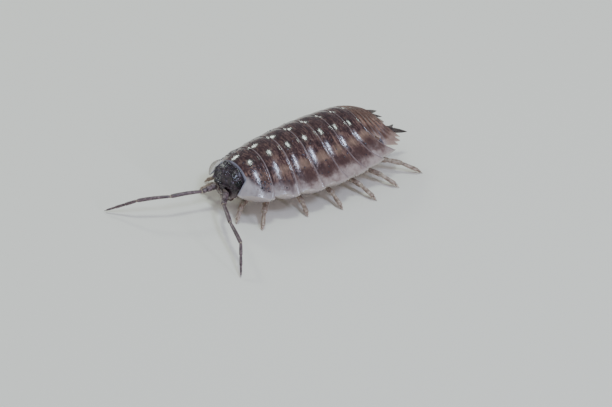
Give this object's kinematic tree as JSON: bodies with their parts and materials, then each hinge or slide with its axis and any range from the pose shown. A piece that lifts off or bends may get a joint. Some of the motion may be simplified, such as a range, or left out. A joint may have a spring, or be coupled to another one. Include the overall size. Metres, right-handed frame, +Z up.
{
  "type": "woodlouse model",
  "caption": "Life-size still model of a common shiny woodlouse on fourteen legs, with overlapping shell plates, spread antennae, pleon, telson and forked uropods.",
  "frame": {"origin": "on the floor at the middle of the bounding box of the whole animal, antennae and feet included", "axes": "+Z up, head and antennae towards -Y, tail towards +Y, the animal's left side towards +X"},
  "size_m": [0.0128, 0.0224, 0.0044],
  "materials": {
    "shell": "glossy translucent brown-violet shell plates with pale mottling, pale hind margins and clear pale side edges",
    "head_shell": "dark granulated glossy head capsule",
    "eye": "black glossy compound eye of small domed facets",
    "antenna": "grey-violet articles with fine short hairs and paler joints",
    "limb": "pale translucent straw-brown legs with darker mottling and short spines",
    "belly": "pale whitish mouthparts and gill flaps",
    "tail": "semi-gloss pinkish brown tail plates"
  },
  "bodies": {
    "root": {"head": "head_shell", "eye_left": "eye", "eye_right": "eye", "mouthparts": "belly", "antenna_left_base": "antenna", "antenna_left_article_4": "antenna", "antenna_left_article_5": "antenna", "antenna_left_flagellum": "antenna", "antenna_right_base": "antenna", "antenna_right_article_4": "antenna", "antenna_right_article_5": "antenna", "antenna_right_flagellum": "antenna", "pereonite_1": "shell", "pereonite_2": "shell", "pereonite_3": "shell", "pereonite_4": "shell", "pereonite_5": "shell", "pereonite_6": "shell", "pereonite_7": "shell", "leg_left_1": "limb", "leg_left_2": "limb", "leg_left_3": "limb", "leg_left_4": "limb", "leg_left_5": "limb", "leg_left_6": "limb", "leg_left_7": "limb", "leg_right_1": "limb", "leg_right_2": "limb", "leg_right_3": "limb", "leg_right_4": "limb", "leg_right_5": "limb", "leg_right_6": "limb", "leg_right_7": "limb", "pleonite_1": "tail", "pleonite_2": "tail", "pleonite_3": "tail", "pleonite_4": "tail", "pleonite_5": "tail", "telson": "tail", "uropod_left": "tail", "uropod_right": "tail", "pleopods": "belly"}
  },
  "joints": []
}
